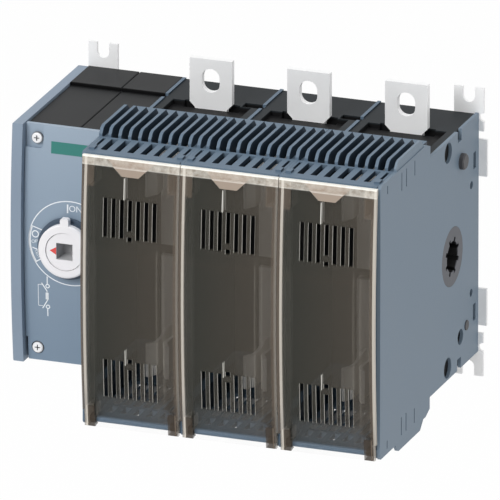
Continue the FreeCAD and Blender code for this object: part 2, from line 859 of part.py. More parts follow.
def chamber_top(index):
    x = pole_x(index)
    half = pole_width / 2
    front = depth(fuse_section_depth + joint_gap)
    deck = prism_x(
        [
            (front, joint_gap / 2),
            (front, deck_height),
            (y_back, deck_height),
            (y_back, joint_gap / 2),
        ],
        x - half, x + half,
    )
    # A lug fills the notch of the plate at the left.
    lug = block(
        x - half - joint_gap - plate_thickness, x - half + 1,
        section(plate_notch_start + joint_gap), section(plate_notch_end - joint_gap),
        switch_half_height - plate_notch_depth + joint_gap, deck_height - notch_lug_drop,
    )
    deck = deck.fuse(lug)
    neck_half = terminal_width / 2 + neck_gap_width
    clear = bar_thickness + 2 * bar_clearance
    drum_end = x + (half if index == pole_count - 1 else rotor_half_length + rotor_end_gap)
    path = terminal_path()
    path[-1] = (path[-1][0], -1)
    channel_half = terminal_width / 2 + bar_clearance
    channel = bent_bar(path, clear, x - channel_half, x + channel_half)
    ear_slot = block(
        x - bar_thickness / 2 - bar_clearance, x + bar_thickness / 2 + bar_clearance,
        front - 1, depth(terminal_drop_depth), -1, blade_offset + ear_height / 2 + bar_clearance,
    )
    cuts = [
        rod_x(x - half, x + half, shaft_y, 0, rotor_journal_radius + running_clearance),
        rod_x(x - rotor_half_length - rotor_end_gap, drum_end, shaft_y, 0, hub_radius + rotor_end_gap),
        rod_x(
            x - blade_chamber_half_width, x + blade_chamber_half_width, shaft_y, 0, blade_chamber_radius,
        ),
        block(
            x - recess_half_width, x + recess_half_width, section(recess_start), section(recess_end),
            deck_height - recess_depth, deck_height + 1,
        ),
        block(
            x - neck_half, x + neck_half, depth(terminal_depth - bar_clearance),
            depth(terminal_depth + bar_thickness + bar_clearance), deck_height - neck_gap_depth, deck_height + 1,
        ),
        channel,
        ear_slot,
    ]
    for rod_depth, height in tie_rod_places:
        cuts.append(rod_x(x - half, x + half, depth(rod_depth), abs(height), tie_rod_radius + joint_gap))
    if index < pole_count - 1:
        cuts.append(block(
            x + half - side_pocket_width, x + half + 1, section(side_pocket_start), section(side_pocket_end),
            deck_height - side_pocket_depth, deck_height + 1,
        ))
    cuts += upper_arc_plates(x, joint_gap)
    if index == pole_count - 1:
        cuts.append(bracket_screw_hole(right_bracket_x))
    return clean(deck.cut(cuts))


for index in range(pole_count):
    shell = chamber_top(index)
    keep("switch_chamber_top_%d" % (index + 1), shell)
    keep("switch_chamber_bottom_%d" % (index + 1), below(shell))


# Rotors with their contact blades, drawn in the off position: blades upright

def blade(x, side, sheet):
    """One copper blade of a pair, a long plate with round ends."""
    gap = bar_thickness / 2 + slide_clearance
    x0 = x + gap if sheet > 0 else x - gap - blade_thickness
    y = shaft_y + side * blade_offset
    end = math.sqrt((blade_tip_radius - blade_width / 2) ** 2 - blade_offset ** 2)
    plate = block(x0, x0 + blade_thickness, y - blade_width / 2, y + blade_width / 2, -end, end)
    tips = [rod_x(x0, x0 + blade_thickness, y, z, blade_width / 2) for z in (-end, end)]
    return clean(plate.fuse(tips))


def square_bar(x0, x1, side):
    return block(x0, x1, shaft_y - side / 2, shaft_y + side / 2, -side / 2, side / 2)


def rotor(index):
    """Moulded drum that carries the blades, with a square tenon into the next one."""
    x = pole_x(index)
    gap = bar_thickness / 2 + slide_clearance
    half = pole_width / 2
    last = index == pole_count - 1
    right = hub_start(x) - joint_gap if last else x + rotor_half_length
    drum = rod_x(x - rotor_half_length, right, shaft_y, 0, rotor_radius)
    journal_end = right if last else x + half
    journal = rod_x(x - half, journal_end, shaft_y, 0, rotor_journal_radius)
    tenon_length = hub_socket_depth if last else plate_thickness + coupling_length
    tenon = square_bar(journal_end, journal_end + tenon_length, coupling_square)
    socket = square_bar(x - half - 1, x - half + coupling_length + 1, coupling_square + 2 * slide_clearance)
    cuts = [socket]
    for side in (-1, 1):
        y = shaft_y + side * blade_offset
        for x0 in (x + gap, x - gap - blade_thickness):
            cuts.append(block(
                x0 - joint_gap, x0 + blade_thickness + joint_gap,
                y - blade_width / 2 - joint_gap, y + blade_width / 2 + joint_gap,
                -rotor_radius - 1, rotor_radius + 1,
            ))
    return clean(drum.fuse([journal, tenon]).cut(cuts))


def hub_start(x):
    return x_right - hub_bore_depth - hub_web - hub_socket_depth


for index in range(pole_count):
    x = pole_x(index)
    keep("rotor_%d" % (index + 1), rotor(index))
    blades = [blade(x, side, sheet) for side in (-1, 1) for sheet in (-1, 1)]
    keep("contact_blades_%d" % (index + 1), *blades)


def side_hub():
    """Hub in the end plate, with a grooved bore that takes a drive shaft from the side."""
    start = hub_start(pole_x(pole_count - 1))
    hub = rod_x(start, x_right, shaft_y, 0, hub_radius)
    bore_start = x_right - hub_bore_depth
    socket = square_bar(start - 1, start + hub_socket_depth + 0.2, coupling_square + 2 * slide_clearance)
    bore = rod_x(bore_start, x_right + 1, shaft_y, 0, hub_bore_radius)
    cuts = [socket, bore]
    for number in range(hub_groove_count):
        groove = block(
            bore_start, x_right + 1, shaft_y, shaft_y + hub_groove_radius,
            -hub_groove_width / 2, hub_groove_width / 2,
        )
        groove.rotate(vec(0, shaft_y, 0), vec(1, 0, 0), (number + 0.5) * 360.0 / hub_groove_count)
        cuts.append(groove)
    return clean(hub.cut(cuts))


keep("side_hub", side_hub())


# Tie rods that clamp the poles to the mechanism

def tie_rods():
    start = x_poles - mechanism_wall
    rods = []
    for rod_depth, z in tie_rod_places:
        y = depth(rod_depth)
        # The upper rod has a head against the end plate, the lower one a riveted end.
        upper = z > 0
        radius = tie_rod_head_radius if upper else tie_rod_radius
        length = tie_rod_head_length if upper else tie_rod_rivet_length
        rod = rod_x(start, x_right, y, z, tie_rod_radius)
        end = rod_x(x_right, x_right + length, y, z, radius)
        rim = edges_where(end, lambda e: abs(e.CenterOfMass.x - x_right - length) < 0.01)
        rods.append(clean(rod.fuse(end.makeChamfer(length / 4, rim))))
    return rods


keep("tie_rods", *tie_rods())


# Mechanism housing with its pockets for auxiliary switches

def pocket_bounds():
    """The four pockets, as left, right, front, back and lid height."""
    left = body_left + mechanism_wall
    right = body_right - mechanism_wall
    seam = x_left + lid_seam_offset
    wall = mechanism_wall / 2
    bounds = []
    for name, x0, x1 in (("left", left, seam - wall), ("right", seam + wall, right)):
        front = depth(lid_start + lid_front_wall)
        bounds.append(("front_" + name, x0, x1, front, depth(lid_step - wall), lid_height))
        bounds.append(("rear_" + name, x0, x1, depth(lid_step + wall), depth(lid_end), rear_lid_height))
    return bounds


def mechanism_housing():
    """Moulded case: gear room inside, four open pockets on top and a bearing in front."""
    top = lid_height - lid_thickness
    rear_top = rear_lid_height - lid_thickness
    outline = [
        (depth(mechanism_body_depth), -mechanism_body_half_height),
        (depth(mechanism_body_depth), mechanism_body_half_height),
        (depth(lid_start - case_ledge), mechanism_body_half_height),
        (depth(lid_start - case_ledge), top),
        (depth(lid_step), top),
        (depth(lid_step), rear_top),
        (y_back, rear_top),
        (y_back, -mechanism_half_height),
        (depth(mechanism_body_depth + mechanism_step), -mechanism_half_height),
    ]
    case = prism_x(outline, body_left, body_right)
    room = block(
        body_left + mechanism_wall, body_right - mechanism_wall,
        depth(mechanism_body_depth + gear_room_start), section(gear_room_end),
        -mechanism_half_height + mechanism_wall, pocket_floor - gear_room_roof,
    )
    cuts = [room]
    for name, x0, x1, y0, y1, lid_top in pocket_bounds():
        cuts.append(block(x0, x1, y0, y1, pocket_floor, rear_lid_height))
    cuts.append(rod_y(
        depth(mechanism_body_depth - 1), depth(mechanism_body_depth + gear_room_start + 1), dial_x, 0,
        spindle_radius + running_clearance,
    ))
    cuts.append(rod_x(
        body_right - mechanism_wall - 1, body_right + 1, shaft_y, 0, rotor_journal_radius + running_clearance,
    ))
    for rod_depth, height in tie_rod_places:
        cuts.append(rod_x(
            x_poles - mechanism_wall, body_right + 1, depth(rod_depth), height, tie_rod_radius + joint_gap,
        ))
    for side in (-1, 1):
        cuts.append(rod_y(
            depth(mechanism_body_depth - 1), depth(mechanism_body_depth + front_screw_hole_length),
            front_screw_x, side * front_screw_height, front_screw_shank + joint_gap,
        ))
    return clean(case.cut(cuts + both([bracket_screw_hole(left_bracket_x)])))


keep("mechanism_housing", mechanism_housing())


def bowed_front(x0, x1, front, half_height, back, bulge):
    """Solid with a front face bowed forward at mid height and a flat back."""
    radius = (half_height ** 2 + bulge ** 2) / (2 * bulge)
    drum = Part.makeCylinder(radius, x1 - x0, vec(x0, front - bulge + radius, 0), vec(1, 0, 0))
    return drum.common(block(x0, x1, front - bulge - 1, back, -half_height, half_height))


def left_side_shell():
    """Left wall of the mechanism, as deep as the housing, with a bowed front rim."""
    shell = bowed_front(
        x_left, x_left + side_shell_width, depth(mechanism_front_depth), mechanism_half_height, y_back,
        mechanism_bulge,
    )
    hollow = block(
        x_left + left_shell_wall, x_left + side_shell_width,
        depth(mechanism_body_depth + left_shell_wall), y_back - left_shell_wall,
        -mechanism_half_height + left_shell_wall, mechanism_half_height - left_shell_wall,
    )
    shell = shell.cut(hollow)
    rim = edges_where(shell, lambda e: abs(e.CenterOfMass.x - x_left) < 0.01)
    return clean(shell.makeChamfer(left_shell_chamfer, rim))


keep("left_side_shell", left_side_shell())


def front_plate():
    """Bowed front of the mechanism, with recessed corners for its screws."""
    x0 = x_left + side_shell_width + front_plate_gap
    half = front_plate_half_height
    front = depth(front_plate_depth)
    back = depth(mechanism_body_depth - joint_gap)
    nose = front - 2 * mechanism_bulge
    seat = front + front_screw_seat
    plate = bowed_front(x0, body_right, front, half, back, mechanism_bulge)
    inside = bowed_front(
        x0 + front_plate_rim, body_right - front_plate_rim, front + front_plate_thickness,
        half - front_plate_rim, back, mechanism_bulge,
    )
    plate = plate.cut(inside)
    posts = []
    cuts = []
    for side in (-1, 1):
        low, high = sorted((side * front_plate_tab_height, side * half))
        posts.append(block(x0, x0 + front_plate_tab, seat, back, low, high))
        cuts.append(rod_y(
            nose, back, front_screw_x, side * front_screw_height, front_screw_shank + running_clearance * 2,
        ))
    tab = block(x0 - 1, x0 + front_plate_tab, nose, seat, front_plate_tab_height, half + 1)
    corner = edges_where(
        tab, lambda e: along(e, 1) and e.CenterOfMass.x > x0 and e.CenterOfMass.z < front_plate_tab_height + 1,
    )
    cuts.append(tab.makeFillet(front_plate_tab_radius, corner))
    cuts.append(block(
        x0 - 1, x0 + front_plate_slit, nose, back + 1, -half - 1, -front_plate_tab_height,
    ))
    cuts.append(rod_y(
        nose, seat, front_screw_x, -front_screw_height, front_screw_radius + front_screw_seat_gap,
    ))
    plate = plate.fuse(posts).cut(cuts)
    hole = rod_y(nose, back, dial_x, 0, collar_radius - front_plate_hole_lap)
    return clean(plate.cut(hole))


keep("front_plate", front_plate())


def front_screws():
    screws = []
    slot_length, slot_width, slot_depth = front_screw_cross
    seat = depth(front_plate_depth) + front_screw_seat
    face = seat - front_screw_head
    for side in (-1, 1):
        z = side * front_screw_height
        head = rod_y(face, seat, front_screw_x, z, front_screw_radius)
        rim = edges_where(head, lambda e: abs(e.CenterOfMass.y - face) < 0.01)
        head = head.makeChamfer(front_screw_chamfer, rim)
        shank = rod_y(seat, depth(mechanism_body_depth + mechanism_step), front_screw_x, z, front_screw_shank)
        cross = [
            block(
                front_screw_x - wide / 2, front_screw_x + wide / 2, face - 1, face + slot_depth,
                z - high / 2, z + high / 2,
            )
            for wide, high in ((slot_length, slot_width), (slot_width, slot_length))
        ]
        screws.append(clean(head.fuse(shank).cut(cross)))
    return screws


keep("front_plate_screws", *front_screws())


# Auxiliary switch lids

for name, x0, x1, y0, y1, lid_top in pocket_bounds():
    rear = name.startswith("rear")
    outer_left = body_left if name.endswith("left") else x_left + lid_seam_offset + lid_gap / 2
    outer_right = x_left + lid_seam_offset - lid_gap / 2 if name.endswith("left") else body_right
    front = depth(lid_step + lid_gap) if rear else depth(lid_start - lid_front_lap)
    back = y_back if rear else depth(lid_step - lid_gap)
    cap = block(outer_left, outer_right, front, back, lid_top - lid_thickness + joint_gap, lid_top)
    rim = edges_where(cap, lambda e: e.CenterOfMass.z > lid_top - 0.01)
    cap = cap.makeChamfer(lid_chamfer, rim)
    under = lid_top - lid_thickness
    fit = lid_fit
    tongue = block(x0 + fit, x1 - fit, y0 + fit, y1 - fit, under - lid_tongue, under + 1)
    fit += lid_tongue_wall
    hollow = block(x0 + fit, x1 - fit, y0 + fit, y1 - fit, under - lid_tongue - 1, under + joint_gap)
    keep("aux_lid_" + name, clean(cap.fuse(tongue.cut(hollow))))


# Selector on the front plate

def selector_collar():
    """Fixed collar that holds the ring and guides the spindle."""
    front = depth(front_plate_depth - collar_front)
    seat = depth(front_plate_depth - mechanism_bulge - cover_clearance)
    base = rod_y(front, depth(mechanism_body_depth - joint_gap), dial_x, 0, collar_radius - collar_flange)
    flange = rod_y(front + collar_lip, seat, dial_x, 0, collar_radius)
    bore = rod_y(front - 1, y_back, dial_x, 0, dial_bore_radius)
    return clean(base.fuse(flange).cut(bore))


def selector_ring():
    """White ring around the selector disc, with a small peg on top."""
    front = depth(dial_front_depth)
    back = depth(front_plate_depth - collar_front - joint_gap)
    ring = rod_y(front, back, dial_x, 0, ring_radius)
    rim = edges_where(ring, lambda e: abs(e.CenterOfMass.y - front) < 0.01)
    ring = ring.makeChamfer(ring_chamfer, rim)
    bore = rod_y(front - 1, back + 1, dial_x, 0, dial_bore_radius)
    peg = block(
        dial_x - ring_peg_width / 2, dial_x + ring_peg_width / 2, front + joint_gap, back,
        ring_radius - ring_peg_root, ring_radius + ring_peg_reach,
    )
    ends = edges_where(peg, lambda e: along(e, 1) and e.CenterOfMass.z > ring_radius)
    peg = peg.makeFillet(ring_peg_fillet, ends)
    return clean(ring.cut(bore).fuse(peg))


def selector_disc():
    """White disc with the square drive socket, turned by hand with a square shaft."""
    front = depth(dial_front_depth + disc_setback)
    disc = rod_y(front, depth(disc_back), dial_x, 0, disc_radius)
    half = drive_square / 2
    socket = block(dial_x - half, dial_x + half, front - 1, front + drive_socket_depth, -half, half)
    return clean(disc.cut(socket))


keep("selector_collar", selector_collar())
keep("selector_ring", selector_ring())
keep("selector_disc", selector_disc())


# Drive: spindle, bevel gears and output shaft, with the snap spring

def bevel_gear(bore_radius):
    """Straight bevel gear of a one to one pair, with its apex at the origin and its axis along X."""
    outer = gear_pitch_radius
    inner = outer - gear_face
    hub_back = outer + gear_hub
    # Blank: the frustum between the root cones, with a hub behind.
    slope = math.sqrt(0.5)
    shrink = inner / outer
    root_axial = outer + gear_dedendum * slope
    root_radius = outer - gear_dedendum * slope
    start = root_axial * shrink
    cone = Part.makeCone(
        root_radius * shrink, root_radius, root_axial - start, vec(start, 0, 0), vec(1, 0, 0),
    )
    back = Part.makeCone(
        root_radius, root_radius - gear_back_taper, hub_back - root_axial, vec(root_axial, 0, 0), vec(1, 0, 0),
    )
    bore = rod_x(start - 1, hub_back + 1, 0, 0, bore_radius)
    pitch_angle = math.pi / gear_teeth

    def tooth_section(scale):
        """Tooth outline on the back cone: wide at the root and narrow at the tip."""
        points = []
        for height, share in ((-gear_dedendum - 0.3, 0.74), (0.0, 0.46), (gear_addendum, 0.24)):
            along_axis = outer - height * slope
            radius = outer + height * slope
            points.append((along_axis * scale, radius * scale, share * pitch_angle))
        left = [vec(a, r * math.cos(w), -r * math.sin(w)) for a, r, w in points]
        right = [vec(a, r * math.cos(w), r * math.sin(w)) for a, r, w in reversed(points)]
        return Part.makePolygon(left + right + left[:1])

    teeth = []
    tooth = Part.makeLoft([tooth_section(1.0), tooth_section(shrink)], True, True)
    for number in range(gear_teeth):
        copy = tooth.copy()
        copy.rotate(vec(0, 0, 0), vec(1, 0, 0), number * 360.0 / gear_teeth)
        teeth.append(copy)
    return clean(cone.fuse([back] + teeth).cut(bore))


spindle_bore = spindle_radius + running_clearance
drive_gear = bevel_gear(spindle_bore)
drive_gear.rotate(vec(0, 0, 0), vec(0, 0, 1), -90)
drive_gear.translate(vec(dial_x, shaft_y, 0))
keep("drive_gear", drive_gear)
shaft_gear = bevel_gear(spindle_bore)
shaft_gear.rotate(vec(0, 0, 0), vec(1, 0, 0), 180.0 / gear_teeth)
shaft_gear.translate(vec(dial_x, shaft_y, 0))
keep("shaft_gear", shaft_gear)


def drive_spindle():
    """Steel spindle from the selector disc to the front bevel gear."""
    start = depth(disc_back + joint_gap)
    end = shaft_y - gear_pitch_radius + gear_face
    return rod_y(start, end, dial_x, 0, spindle_radius)


def output_shaft():
    """Steel shaft from the side bevel gear into the first rotor."""
    start = dial_x + gear_pitch_radius - gear_face
    journal_end = body_right
    journal_start = x_poles - mechanism_wall - journal_shoulder
    shaft = rod_x(start, journal_start, shaft_y, 0, spindle_radius)
    journal = rod_x(journal_start, journal_end, shaft_y, 0, rotor_journal_radius)
    tenon = square_bar(journal_end, x_poles + plate_thickness + joint_gap + coupling_length, coupling_square)
    return clean(shaft.fuse([journal, tenon]))


def snap_spring():
    """Flat spiral spring around the spindle, between the front bearing and the bevel gear."""
    path = []
    for step in range(int(spring_turns * spring_steps) + 1):
        turn = step / spring_steps
        radius = spindle_radius + slide_clearance + spring_leaf / 2 + spring_pitch * turn
        angle = 2 * math.pi * turn
        path.append((dial_x + radius * math.cos(angle), radius * math.sin(angle)))
    start = depth(mechanism_body_depth + spring_setback)
    return prism_y(bent_outline(path, spring_leaf), start, start + spring_width)


keep("drive_spindle", drive_spindle())
keep("output_shaft", output_shaft())
keep("snap_spring", snap_spring())


# Brackets of folded sheet steel

def bracket(x, outward):
    """Sheet bracket behind a corner: slotted tab above, and a foot with a side ear and two edge notches."""
    half = outward * bracket_tab_width / 2
    ear = outward * (bracket_slot_inset_right + bracket_ear_reach)
    outline = [
        (x - half, bracket_foot_height),
        (x - half, bracket_tab_height),
        (x + half, bracket_tab_height),
        (x + half, bracket_ear_height),
        (x + ear, bracket_ear_height),
        (x + ear, bracket_foot_height),
    ]
    sheet = prism_y(outline, -bracket_thickness, 0)
    front, back = -bracket_thickness - 1, 1
    radius = bracket_slot_width / 2
    cuts = [
        block(x - radius, x + radius, front, back, bracket_slot_height, bracket_tab_height + 1),
        rod_y(front, back, x, bracket_slot_height, radius),
        rod_y(front, back, x + half, bracket_notch_height, bracket_notch_radius),
    ]
    inner, outer = x + half - outward * bracket_gap_depth, x + half + outward
    cuts.append(block(
        min(inner, outer), max(inner, outer), front, back, bracket_ear_height, bracket_ear_height + bracket_gap,
    ))
    cuts.append(rod_y(front, back, x, bracket_screw_height, bracket_screw_radius + joint_gap))
    return clean(sheet.cut(cuts))


bracket_screws = []
for name, x, outward in (("left", left_bracket_x, -1), ("right", right_bracket_x, 1)):
    piece = bracket(x, outward)
    keep("bracket_top_" + name, piece)
    keep("bracket_bottom_" + name, below(piece))
    end = y_back - bracket_screw_length + bracket_screw_gap
    screw = rod_y(end, -slide_clearance, x, bracket_screw_height, bracket_screw_radius)
    bracket_screws += both([screw])
keep("bracket_screws", *bracket_screws)


os.makedirs("parts", exist_ok=True)
for name, shape in nodes.items():
    shape.exportStep("parts/%s.step" % name)
print("%d nodes written" % len(nodes))
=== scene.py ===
import math

import bpy
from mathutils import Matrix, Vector


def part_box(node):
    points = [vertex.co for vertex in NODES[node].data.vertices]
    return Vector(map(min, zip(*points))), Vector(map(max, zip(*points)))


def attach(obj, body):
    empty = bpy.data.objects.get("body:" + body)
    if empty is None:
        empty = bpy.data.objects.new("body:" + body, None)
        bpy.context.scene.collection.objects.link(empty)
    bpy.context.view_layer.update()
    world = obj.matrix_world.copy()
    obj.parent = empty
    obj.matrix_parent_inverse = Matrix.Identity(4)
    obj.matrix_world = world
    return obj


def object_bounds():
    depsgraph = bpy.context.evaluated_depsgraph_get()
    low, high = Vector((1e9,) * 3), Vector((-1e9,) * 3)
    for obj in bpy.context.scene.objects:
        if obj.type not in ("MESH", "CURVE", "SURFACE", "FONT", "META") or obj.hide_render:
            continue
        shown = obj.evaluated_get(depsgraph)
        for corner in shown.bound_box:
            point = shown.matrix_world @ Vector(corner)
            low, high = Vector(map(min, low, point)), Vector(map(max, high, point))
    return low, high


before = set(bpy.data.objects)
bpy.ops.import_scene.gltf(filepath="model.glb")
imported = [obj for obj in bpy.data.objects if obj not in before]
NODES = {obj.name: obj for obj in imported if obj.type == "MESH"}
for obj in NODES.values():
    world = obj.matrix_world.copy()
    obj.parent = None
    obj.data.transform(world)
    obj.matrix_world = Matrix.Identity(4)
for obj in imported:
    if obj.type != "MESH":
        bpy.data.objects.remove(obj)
cad_low, cad_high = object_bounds()
MM = 0.001

POLES = (1, 2, 3)
LEVELS = ("top", "bottom")
SIDES = ("left", "right")


# Sizes read from the parts of model.glb

def low(node):
    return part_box(node)[0]


def high(node):
    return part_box(node)[1]


def middle(node):
    return (low(node) + high(node)) / 2


# Shader helpers. The constants are the places of sockets on Blender's nodes.

X, Y, Z = 0, 1, 2
NORMAL, OBJECT = 1, 3
BACKFACING = 6
MIXED_COLOUR = 2
CAMERA_RAY, GLOSSY_RAY, TRANSMISSION_RAY = 0, 3, 6


class Value:
    """A shader output that takes part in arithmetic by adding Math nodes."""

    def __init__(self, finish, socket):
        self.finish = finish
        self.socket = socket

    def maths(self, operation, *others):
        inputs = {"i%d" % index: item for index, item in enumerate((self,) + others)}
        return self.finish.node("Math", {"operation": operation}, **inputs)

    def __add__(self, other):
        return self.maths("ADD", other)

    def __sub__(self, other):
        return self.maths("SUBTRACT", other)

    def __mul__(self, other):
        return self.maths("MULTIPLY", other)

    def __truediv__(self, other):
        return self.maths("DIVIDE", other)

    def __rsub__(self, other):
        return self.maths("MULTIPLY", -1.0).maths("ADD", other)

    __radd__ = __add__
    __rmul__ = __mul__

    def __abs__(self):
        return self.maths("ABSOLUTE")

    def clamp(self):
        return self.maths("MAXIMUM", 0.0).maths("MINIMUM", 1.0)

    def above(self, edge, blur):
        """0 below the edge and 1 above it, with a soft step of the given width."""
        return ((self - edge) / blur + 0.5).clamp()

    def below(self, edge, blur):
        return 1 - self.above(edge, blur)

    def between(self, start, end, blur):
        return self.above(start, blur) * self.below(end, blur)


class Tree:
    """Shader nodes of one material or world, added node by node."""

    def __init__(self, owner):
        owner.use_nodes = True
        self.owner = owner
        self.tree = owner.node_tree

    def feed(self, socket, item):
        if isinstance(item, Value):
            self.tree.links.new(item.socket, socket)
        else:
            socket.default_value = item

    def node(self, kind, settings=None, output=0, **inputs):
        """Adds a node of a kind, sets it up, feeds its sockets and returns one output.

        An input is given by its name, or by i and its place.
        """
        node = self.tree.nodes.new("ShaderNode" + kind)
        for key, value in (settings or {}).items():
            setattr(node, key, value)
        for key, item in inputs.items():
            numbered = key[0] == "i" and key[1:].isdigit()
            place = int(key[1:]) if numbered else key.replace("_", " ")
            self.feed(node.inputs[place], item)
        return Value(self, node.outputs[output])

    def close(self, output, shader):
        self.feed(self.tree.nodes[output].inputs["Surface"], shader)


class Finish(Tree):
    """One material with a Principled shader, whose colour is laid on in coats."""

    def __init__(self, name, colour, roughness, **constants):
        super().__init__(bpy.data.materials.new(name))
        self.material = self.owner
        self.shader = self.tree.nodes["Principled BSDF"]
        self.colour = colour
        self.shader.inputs["Base Color"].default_value = (*colour, 1)
        self.shader.inputs["Roughness"].default_value = roughness
        for key, value in constants.items():
            self.shader.inputs[key.replace("_", " ")].default_value = value
        self.place = self.node("TexCoord", output=OBJECT)

    def noise(self, scale, detail=2.0, roughness=0.5):
        return self.node(
            "TexNoise", Vector=self.place, Scale=scale, Detail=detail, Roughness=roughness,
        )

    def axis(self, index):
        """Object coordinate along X, Y or Z, in millimetres."""
        return self.node("SeparateXYZ", output=index, Vector=self.place) / MM

    def facing(self, index):
        """Part of the surface direction along X, Y or Z."""
        direction = self.node("TexCoord", output=NORMAL)
        return self.node("SeparateXYZ", output=index, Vector=direction)

    def side_faces(self):
        """1 on the faces that look left or right."""
        return abs(self.facing(X)).above(0.6, 0.1)

    def mix(self, amount, first, second):
        """Colour between two colours."""
        return self.node(
            "Mix", {"data_type": "RGBA"}, output=MIXED_COLOUR, i0=amount,
            i6=first if isinstance(first, Value) else (*first, 1),
            i7=second if isinstance(second, Value) else (*second, 1),
        )

    def use(self, socket, item):
        self.feed(self.shader.inputs[socket], item)

    def fade(self, amount, first, second):
        """Colours the surface between two colours."""
        self.colour = self.mix(amount, first, second)
        self.use("Base Color", self.colour)

    def vary(self, amount, weakest, strongest):
        """Lets the colour drift between two strengths of itself."""
        self.fade(amount, shade(self.colour, weakest), shade(self.colour, strongest))

    def paint(self, mask, colour):
        """Lays a colour over what is there, where the mask is 1."""
        self.fade(mask, self.colour, colour)

    def bump(self, height, strength, distance):
        self.use("Normal", self.node("Bump", Height=height, Strength=strength, Distance=distance))

    def erode(self, relief=0.03):
        """Fine eroded texture of a mould."""
        self.bump(self.noise(2600.0, 2.0, 0.6), relief, 0.4 * MM)


def shade(colour, factor):
    return tuple(min(1.0, part * factor) for part in colour)


def srgb(red, green, blue):
    """Linear colour of an 8 bit screen colour."""
    parts = (red / 255, green / 255, blue / 255)
    return tuple(p / 12.92 if p <= 0.04045 else ((p + 0.055) / 1.055) ** 2.4 for p in parts)


# Finishes

def moulded(name, colour, roughness, gloss=0.35, spread=0.05, relief=0.03):
    """Moulded thermoplastic: fine eroded texture, slow colour drift and faint flow marks."""
    finish = Finish(name, colour, roughness, Specular_IOR_Level=gloss)
    drift = finish.noise(22.0, 3.0)
    finish.vary(drift, 1 - spread, 1 + spread)
    finish.use("Roughness", roughness - 0.05 + drift * 0.1)
    finish.erode(relief)
    return finish


def front_finish(name, upper, lower):
    """Plastic of the bowed front, with painted light: a little paler towards the top, where more
    light falls.
    """
    finish = Finish(name, upper, 0.42, Coat_Weight=0.06, Coat_Roughness=0.3)
    drift = finish.noise(18.0, 2.0)
    # Painted light: the colour fades from the shaded colour at the bottom to the lit colour at the
    # top
    painted_light_rise = (finish.axis(Z) / 150.0 + 0.5 + (drift - 0.5) * 0.1).clamp()
    finish.fade(painted_light_rise, lower, upper)
    finish.use("Roughness", 0.38 + drift * 0.1)
    finish.erode()
    return finish.material


def plated_metal(name, colour, roughness, streak, metallic):
    """Dull plated metal with soft rolling streaks and cloudy reflections."""
    finish = Finish(name, colour, roughness, Metallic=metallic)
    stretched = finish.node("Mapping", Vector=finish.place, Scale=streak)
    lines = finish.node("TexNoise", Vector=stretched, Scale=1.0, Detail=4.0, Roughness=0.65)
    cloud = finish.noise(60.0, 3.0)
    finish.vary(cloud, 0.94, 1.03)
    finish.use("Roughness", roughness - 0.07 + lines * 0.1 + cloud * 0.06)
    finish.bump(lines, 0.05, 0.3 * MM)
    return finish.material


def recessed_finish(name, axis, face, sign, bright, dark, roughness):
    """End face of a turned or moulded piece, with painted shade: its recess is coloured dark below
    the face.

    The sign is 1 where the recess runs along the axis and -1 where it runs against it.
    """
    finish = Finish(name, bright, roughness, Specular_IOR_Level=0.4)
    depth = (finish.axis(axis) - face / MM) * sign
    cloud = finish.noise(300.0, 2.0)
    finish.vary(cloud, 0.95, 1.02)
    # Painted shade in the recess below the face
    finish.paint(depth.above(0.5, 0.3), dark)
    finish.use("Roughness", roughness - 0.04 + cloud * 0.1)
    finish.bump(finish.noise(2200.0, 2.0), 0.02, 0.3 * MM)
    return finish.material


def disc_finish(name, node, half, bright, dark):
    """White disc whose square socket, of the given half width, is darker with painted shade."""
    finish = Finish(name, bright, 0.34, Specular_IOR_Level=0.4)
    centre = middle(node)
    across = abs(finish.axis(X) - centre.x / MM)
    upright = abs(finish.axis(Z) - centre.z / MM)
    depth = finish.axis(Y) - low(node).y / MM
    square = across.maths("MAXIMUM", upright).below(half + 0.1, 0.1)
    cloud = finish.noise(120.0, 2.0)
    finish.vary(cloud, 0.97, 1.0)
    # Painted shade in the socket, below the disc's face
    finish.paint(square * depth.above(0.3, 0.2), dark)
    finish.use("Roughness", 0.3 + cloud * 0.08)
    return finish.material


def case_finish(name, colour, dark):
    """Case of the mechanism, coloured near black in a band along the step to the rear lids."""
    band_front, band_back, band_height = 1.4, 3.0, 3.0
    finish = moulded(name, colour, 0.48)
    step = low("aux_lid_rear_left").y / MM
    top = high("aux_lid_front_left").z / MM
    step_band = finish.axis(Y).between(step - band_front, step + band_back, 0.2)
    finish.paint(step_band * finish.axis(Z).above(top - band_height, 0.2), dark)
    return finish.material


def fuse_finish(name, node, colour, fin_shade, inside):
    """Finned moulding, with painted shade between the fins, and dark inside where a colour is given
    for it.
    """
    fin_height, front_depth, space_low, space_high, wall = 24.0, 8.0, -58.0, 66.0, 0.6
    finish = moulded(name, colour, 0.5, gloss=0.3)
    height = finish.axis(Z)
    fin_foot = high("fuse_housing_1").z / MM - fin_height
    # Painted shade on the side faces of the fins, above their foot
    finish.paint(finish.side_faces() * abs(height).above(fin_foot, 0.5), fin_shade)
    # Painted shade over the hollow inside the housing
    if inside:
        half = (high(node).x - low(node).x) / 2 / MM
        across = abs(finish.axis(X) - middle(node).x / MM)
        back = finish.axis(Y) - low(node).y / MM
        space = back.above(front_depth, 2.0) * height.between(space_low, space_high, 2.0)
        finish.paint(space * across.below(half - wall, 0.4), inside)
    return finish.material


def chamber_finish(name, colour, dark):
    """Black chamber of a pole, with painted shade that darkens the recess around its terminal."""
    finish = moulded(name, colour, 0.55, gloss=0.1, spread=0.07)
    deck = high("switch_chamber_top_1").z / MM
    # Painted shade in the recess below the deck
    finish.paint(abs(finish.axis(Z)).below(deck - 0.8, 0.4), dark)
    return finish.material


def lid_finish(name, colour, dark):
    """Black lid with a darker front edge, painted shade where it steps down to the lid in front of
    it.
    """
    finish = moulded(name, colour, 0.5, gloss=0.1)
    # Painted shade on the faces that look to the front
    finish.paint((finish.facing(Y) * -1.0).above(0.6, 0.1), dark)
    return finish.material


